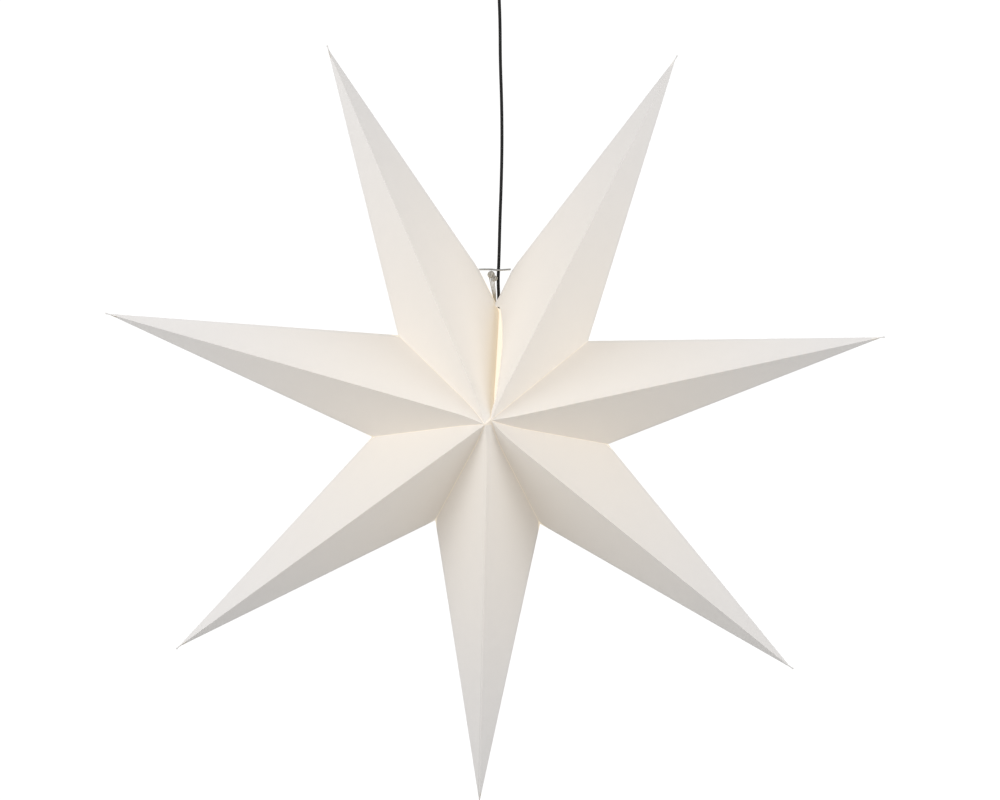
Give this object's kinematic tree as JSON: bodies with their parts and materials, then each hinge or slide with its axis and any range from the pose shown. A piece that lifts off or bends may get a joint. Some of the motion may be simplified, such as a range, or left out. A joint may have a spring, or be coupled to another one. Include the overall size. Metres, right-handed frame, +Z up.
{
  "type": "folding paper star lantern",
  "caption": "Pleated paper star with long points that hangs on a mains cord and glows from a bulb inside; its points fold together like a fan.",
  "frame": {"origin": "in the ceiling face that the bracket is screwed to, on the cord axis", "axes": "+Z up, -Y towards the front of the star, +X to the right as seen from the front"},
  "size_m": [0.9809, 0.2584, 1.1027],
  "materials": {
    "star_paper": "matt white card, faintly fibrous, warm where the lamp shows through",
    "tip_paper": "pressed flat, matt",
    "cup_plastic": "satin moulded",
    "bracket_steel": "zinc plated",
    "screw_steel": "plated",
    "terminal_plastic": "moulded",
    "cord_plastic": "satin moulded",
    "cord_sheath": "smooth satin sheath",
    "holder_plastic": "moulded phenolic",
    "insert_ceramic": "unglazed",
    "cap_nickel": "nickel plated",
    "globe_glass": "opal",
    "hanger_wire": "bright drawn wire",
    "string_cotton": "twisted cotton"
  },
  "bodies": {
    "root": {"ceiling_cup": "cup_plastic", "ceiling_bracket": "bracket_steel", "cup_screws": "screw_steel", "terminal_block": "terminal_plastic"},
    "hanging_cord": {"cord_ball": "cord_plastic", "cord": "cord_sheath"},
    "pendant": {"cord_grip": "cord_plastic", "holder_shell": "holder_plastic", "holder_insert": "insert_ceramic", "hanger_bar": "hanger_wire", "tie_string": "string_cotton", "bottom_tip": "tip_paper"},
    "bulb": {"bulb_cap": "cap_nickel", "bulb_globe": "globe_glass"},
    "arm_right_low": {"right_low_tip": "tip_paper"},
    "arm_right_mid": {"right_mid_tip": "tip_paper"},
    "arm_right_top": {"right_top_tip": "tip_paper"},
    "arm_left_low": {"left_low_tip": "tip_paper"},
    "arm_left_mid": {"left_mid_tip": "tip_paper"},
    "arm_left_top": {"left_top_tip": "tip_paper"},
    "sheet_bottom_front_cw": {"bottom_front_cw": "star_paper"},
    "sheet_bottom_front_ccw": {"bottom_front_ccw": "star_paper"},
    "sheet_bottom_back_cw": {"bottom_back_cw": "star_paper"},
    "sheet_bottom_back_ccw": {"bottom_back_ccw": "star_paper"},
    "sheet_right_low_front_cw": {"right_low_front_cw": "star_paper"},
    "sheet_right_low_front_ccw": {"right_low_front_ccw": "star_paper"},
    "sheet_right_low_back_cw": {"right_low_back_cw": "star_paper"},
    "sheet_right_low_back_ccw": {"right_low_back_ccw": "star_paper"},
    "sheet_right_mid_front_cw": {"right_mid_front_cw": "star_paper"},
    "sheet_right_mid_front_ccw": {"right_mid_front_ccw": "star_paper"},
    "sheet_right_mid_back_cw": {"right_mid_back_cw": "star_paper"},
    "sheet_right_mid_back_ccw": {"right_mid_back_ccw": "star_paper"},
    "sheet_right_top_front_cw": {"right_top_front_cw": "star_paper"},
    "sheet_right_top_front_ccw": {"right_top_front_ccw": "star_paper"},
    "sheet_right_top_back_cw": {"right_top_back_cw": "star_paper"},
    "sheet_right_top_back_ccw": {"right_top_back_ccw": "star_paper"},
    "sheet_left_low_front_cw": {"left_low_front_cw": "star_paper"},
    "sheet_left_low_front_ccw": {"left_low_front_ccw": "star_paper"},
    "sheet_left_low_back_cw": {"left_low_back_cw": "star_paper"},
    "sheet_left_low_back_ccw": {"left_low_back_ccw": "star_paper"},
    "sheet_left_mid_front_cw": {"left_mid_front_cw": "star_paper"},
    "sheet_left_mid_front_ccw": {"left_mid_front_ccw": "star_paper"},
    "sheet_left_mid_back_cw": {"left_mid_back_cw": "star_paper"},
    "sheet_left_mid_back_ccw": {"left_mid_back_ccw": "star_paper"},
    "sheet_left_top_front_cw": {"left_top_front_cw": "star_paper"},
    "sheet_left_top_front_ccw": {"left_top_front_ccw": "star_paper"},
    "sheet_left_top_back_cw": {"left_top_back_cw": "star_paper"},
    "sheet_left_top_back_ccw": {"left_top_back_ccw": "star_paper"}
  },
  "joints": [
    {"name": "cord_swing", "type": "hinge", "parent": "root", "child": "hanging_cord", "pos_m": [0, 0, -0.02164], "axis": [1, 0, 0], "range_deg": [-12, 12]},
    {"name": "star_spin", "type": "hinge", "parent": "hanging_cord", "child": "pendant", "pos_m": [0, 0, -0.472], "axis": [0, 0, 1], "range_deg": [-180, 180]},
    {"name": "bulb_screw", "type": "hinge", "parent": "pendant", "child": "bulb", "pos_m": [0, 0, -0.553], "axis": [0, 0, 1], "continuous": true},
    {"name": "star_fold", "type": "hinge", "parent": "pendant", "child": "arm_right_low", "pos_m": [-0.01007, 0, -0.59992], "axis": [0, 1, 0], "range_deg": [0, 44.43]},
    {"name": "fold_right_mid", "type": "hinge", "parent": "pendant", "child": "arm_right_mid", "pos_m": [-0.01007, 0, -0.59992], "axis": [0, 1, 0], "range_deg": [0, 90.63]},
    {"name": "fold_right_top", "type": "hinge", "parent": "pendant", "child": "arm_right_top", "pos_m": [-0.01007, 0, -0.59992], "axis": [0, 1, 0], "range_deg": [0, 135.95]},
    {"name": "fold_left_low", "type": "hinge", "parent": "pendant", "child": "arm_left_low", "pos_m": [-0.01007, 0, -0.59992], "axis": [0, 1, 0], "range_deg": [-45.32, 0]},
    {"name": "fold_left_mid", "type": "hinge", "parent": "pendant", "child": "arm_left_mid", "pos_m": [-0.01007, 0, -0.59992], "axis": [0, 1, 0], "range_deg": [-90.63, 0]},
    {"name": "fold_left_top", "type": "hinge", "parent": "pendant", "child": "arm_left_top", "pos_m": [-0.01007, 0, -0.59992], "axis": [0, 1, 0], "range_deg": [-135.95, 0]},
    {"name": "crease_bottom_front_cw", "type": "hinge", "parent": "pendant", "child": "sheet_bottom_front_cw", "pos_m": [-0.0249, 0, -1.0997], "axis": [0.0681, 0.2936, -0.9535], "range_deg": [0, 31.29]},
    {"name": "crease_bottom_front_ccw", "type": "hinge", "parent": "pendant", "child": "sheet_bottom_front_ccw", "pos_m": [-0.0249, 0, -1.0997], "axis": [0.1245, -0.2936, 0.9478], "range_deg": [0, 31.29]},
    {"name": "crease_bottom_back_cw", "type": "hinge", "parent": "pendant", "child": "sheet_bottom_back_cw", "pos_m": [-0.0249, 0, -1.0997], "axis": [-0.0681, 0.2936, 0.9535], "range_deg": [0, 31.29]},
    {"name": "crease_bottom_back_ccw", "type": "hinge", "parent": "pendant", "child": "sheet_bottom_back_ccw", "pos_m": [-0.0249, 0, -1.0997], "axis": [-0.1245, -0.2936, -0.9478], "range_deg": [0, 31.29]},
    {"name": "crease_right_low_front_cw", "type": "hinge", "parent": "arm_right_low", "child": "sheet_right_low_front_cw", "pos_m": [0.37143, 0, -0.92312], "axis": [0.7879, 0.2936, -0.5413], "range_deg": [0, 31.29]},
    {"name": "crease_right_low_front_ccw", "type": "hinge", "parent": "arm_right_low", "child": "sheet_right_low_front_ccw", "pos_m": [0.37143, 0, -0.92312], "axis": [-0.6634, -0.2936, 0.6883], "range_deg": [0, 31.29]},
    {"name": "crease_right_low_back_cw", "type": "hinge", "parent": "arm_right_low", "child": "sheet_right_low_back_cw", "pos_m": [0.37143, 0, -0.92312], "axis": [-0.7879, 0.2936, 0.5413], "range_deg": [0, 31.29]},
    {"name": "crease_right_low_back_ccw", "type": "hinge", "parent": "arm_right_low", "child": "sheet_right_low_back_ccw", "pos_m": [0.37143, 0, -0.92312], "axis": [0.6634, -0.2936, -0.6883], "range_deg": [0, 31.29]},
    {"name": "crease_right_mid_front_cw", "type": "hinge", "parent": "arm_right_mid", "child": "sheet_right_mid_front_cw", "pos_m": [0.48048, 0, -0.50317], "axis": [0.9145, 0.2936, 0.2785], "range_deg": [0, 31.29]},
    {"name": "crease_right_mid_front_ccw", "type": "hinge", "parent": "arm_right_mid", "child": "sheet_right_mid_front_ccw", "pos_m": [0.48048, 0, -0.50317], "axis": [-0.9517, -0.2936, -0.0895], "range_deg": [0, 31.29]},
    {"name": "crease_right_mid_back_cw", "type": "hinge", "parent": "arm_right_mid", "child": "sheet_right_mid_back_cw", "pos_m": [0.48048, 0, -0.50317], "axis": [-0.9145, 0.2936, -0.2785], "range_deg": [0, 31.29]},
    {"name": "crease_right_mid_back_ccw", "type": "hinge", "parent": "arm_right_mid", "child": "sheet_right_mid_back_ccw", "pos_m": [0.48048, 0, -0.50317], "axis": [0.9517, -0.2936, 0.0895], "range_deg": [0, 31.29]},
    {"name": "crease_right_top_front_cw", "type": "hinge", "parent": "arm_right_top", "child": "sheet_right_top_front_cw", "pos_m": [0.22014, 0, -0.15607], "axis": [0.3524, 0.2936, 0.8886], "range_deg": [0, 31.29]},
    {"name": "crease_right_top_front_ccw", "type": "hinge", "parent": "arm_right_top", "child": "sheet_right_top_front_ccw", "pos_m": [0.22014, 0, -0.15607], "axis": [-0.5234, -0.2936, -0.7999], "range_deg": [0, 31.29]},
    {"name": "crease_right_top_back_cw", "type": "hinge", "parent": "arm_right_top", "child": "sheet_right_top_back_cw", "pos_m": [0.22014, 0, -0.15607], "axis": [-0.3524, 0.2936, -0.8886], "range_deg": [0, 31.29]},
    {"name": "crease_right_top_back_ccw", "type": "hinge", "parent": "arm_right_top", "child": "sheet_right_top_back_ccw", "pos_m": [0.22014, 0, -0.15607], "axis": [0.5234, -0.2936, 0.7999], "range_deg": [0, 31.29]},
    {"name": "crease_left_low_front_cw", "type": "hinge", "parent": "arm_left_low", "child": "sheet_left_low_front_cw", "pos_m": [-0.41006, 0, -0.89993], "axis": [-0.703, 0.2936, -0.6477], "range_deg": [0, 31.29]},
    {"name": "crease_left_low_front_ccw", "type": "hinge", "parent": "arm_left_low", "child": "sheet_left_low_front_ccw", "pos_m": [-0.41006, 0, -0.89993], "axis": [0.8186, -0.2936, 0.4936], "range_deg": [0, 31.29]},
    {"name": "crease_left_low_back_cw", "type": "hinge", "parent": "arm_left_low", "child": "sheet_left_low_back_cw", "pos_m": [-0.41006, 0, -0.89993], "axis": [0.703, 0.2936, 0.6477], "range_deg": [0, 31.29]},
    {"name": "crease_left_low_back_ccw", "type": "hinge", "parent": "arm_left_low", "child": "sheet_left_low_back_ccw", "pos_m": [-0.41006, 0, -0.89993], "axis": [-0.8186, -0.2936, -0.4936], "range_deg": [0, 31.29]},
    {"name": "crease_left_mid_front_cw", "type": "hinge", "parent": "arm_left_mid", "child": "sheet_left_mid_front_cw", "pos_m": [-0.49402, 0, -0.47425], "axis": [-0.9447, 0.2936, 0.1458], "range_deg": [0, 31.29]},
    {"name": "crease_left_mid_front_ccw", "type": "hinge", "parent": "arm_left_mid", "child": "sheet_left_mid_front_ccw", "pos_m": [-0.49402, 0, -0.47425], "axis": [0.8963, -0.2936, -0.3323], "range_deg": [0, 31.29]},
    {"name": "crease_left_mid_back_cw", "type": "hinge", "parent": "arm_left_mid", "child": "sheet_left_mid_back_cw", "pos_m": [-0.49402, 0, -0.47425], "axis": [0.9447, 0.2936, -0.1458], "range_deg": [0, 31.29]},
    {"name": "crease_left_mid_back_ccw", "type": "hinge", "parent": "arm_left_mid", "child": "sheet_left_mid_back_ccw", "pos_m": [-0.49402, 0, -0.47425], "axis": [-0.8963, -0.2936, 0.3323], "range_deg": [0, 31.29]},
    {"name": "crease_left_top_front_cw", "type": "hinge", "parent": "arm_left_top", "child": "sheet_left_top_front_cw", "pos_m": [-0.21355, 0, -0.1432], "axis": [-0.475, 0.2936, 0.8295], "range_deg": [0, 31.29]},
    {"name": "crease_left_top_front_ccw", "type": "hinge", "parent": "arm_left_top", "child": "sheet_left_top_front_ccw", "pos_m": [-0.21355, 0, -0.1432], "axis": [0.2991, -0.2936, -0.9079], "range_deg": [0, 31.29]},
    {"name": "crease_left_top_back_cw", "type": "hinge", "parent": "arm_left_top", "child": "sheet_left_top_back_cw", "pos_m": [-0.21355, 0, -0.1432], "axis": [0.475, 0.2936, -0.8295], "range_deg": [0, 31.29]},
    {"name": "crease_left_top_back_ccw", "type": "hinge", "parent": "arm_left_top", "child": "sheet_left_top_back_ccw", "pos_m": [-0.21355, 0, -0.1432], "axis": [-0.2991, -0.2936, 0.9079], "range_deg": [0, 31.29]}
  ],
  "couplings": [
    {"joint": "fold_right_mid", "follows": "star_fold", "ratio": 2},
    {"joint": "fold_right_top", "follows": "star_fold", "ratio": 3},
    {"joint": "fold_left_low", "follows": "star_fold", "ratio": -1},
    {"joint": "fold_left_mid", "follows": "star_fold", "ratio": -2},
    {"joint": "fold_left_top", "follows": "star_fold", "ratio": -3},
    {"joint": "crease_bottom_front_cw", "follows": "star_fold", "ratio": 0.69052},
    {"joint": "crease_bottom_front_ccw", "follows": "star_fold", "ratio": 0.69052},
    {"joint": "crease_bottom_back_cw", "follows": "star_fold", "ratio": 0.69052},
    {"joint": "crease_bottom_back_ccw", "follows": "star_fold", "ratio": 0.69052},
    {"joint": "crease_right_low_front_cw", "follows": "star_fold", "ratio": 0.69052},
    {"joint": "crease_right_low_front_ccw", "follows": "star_fold", "ratio": 0.69052},
    {"joint": "crease_right_low_back_cw", "follows": "star_fold", "ratio": 0.69052},
    {"joint": "crease_right_low_back_ccw", "follows": "star_fold", "ratio": 0.69052},
    {"joint": "crease_right_mid_front_cw", "follows": "star_fold", "ratio": 0.69052},
    {"joint": "crease_right_mid_front_ccw", "follows": "star_fold", "ratio": 0.69052},
    {"joint": "crease_right_mid_back_cw", "follows": "star_fold", "ratio": 0.69052},
    {"joint": "crease_right_mid_back_ccw", "follows": "star_fold", "ratio": 0.69052},
    {"joint": "crease_right_top_front_cw", "follows": "star_fold", "ratio": 0.69052},
    {"joint": "crease_right_top_front_ccw", "follows": "star_fold", "ratio": 0.69052},
    {"joint": "crease_right_top_back_cw", "follows": "star_fold", "ratio": 0.69052},
    {"joint": "crease_right_top_back_ccw", "follows": "star_fold", "ratio": 0.69052},
    {"joint": "crease_left_low_front_cw", "follows": "star_fold", "ratio": 0.69052},
    {"joint": "crease_left_low_front_ccw", "follows": "star_fold", "ratio": 0.69052},
    {"joint": "crease_left_low_back_cw", "follows": "star_fold", "ratio": 0.69052},
    {"joint": "crease_left_low_back_ccw", "follows": "star_fold", "ratio": 0.69052},
    {"joint": "crease_left_mid_front_cw", "follows": "star_fold", "ratio": 0.69052},
    {"joint": "crease_left_mid_front_ccw", "follows": "star_fold", "ratio": 0.69052},
    {"joint": "crease_left_mid_back_cw", "follows": "star_fold", "ratio": 0.69052},
    {"joint": "crease_left_mid_back_ccw", "follows": "star_fold", "ratio": 0.69052},
    {"joint": "crease_left_top_front_cw", "follows": "star_fold", "ratio": 0.69052},
    {"joint": "crease_left_top_front_ccw", "follows": "star_fold", "ratio": 0.69052},
    {"joint": "crease_left_top_back_cw", "follows": "star_fold", "ratio": 0.69052},
    {"joint": "crease_left_top_back_ccw", "follows": "star_fold", "ratio": 0.69052}
  ]
}
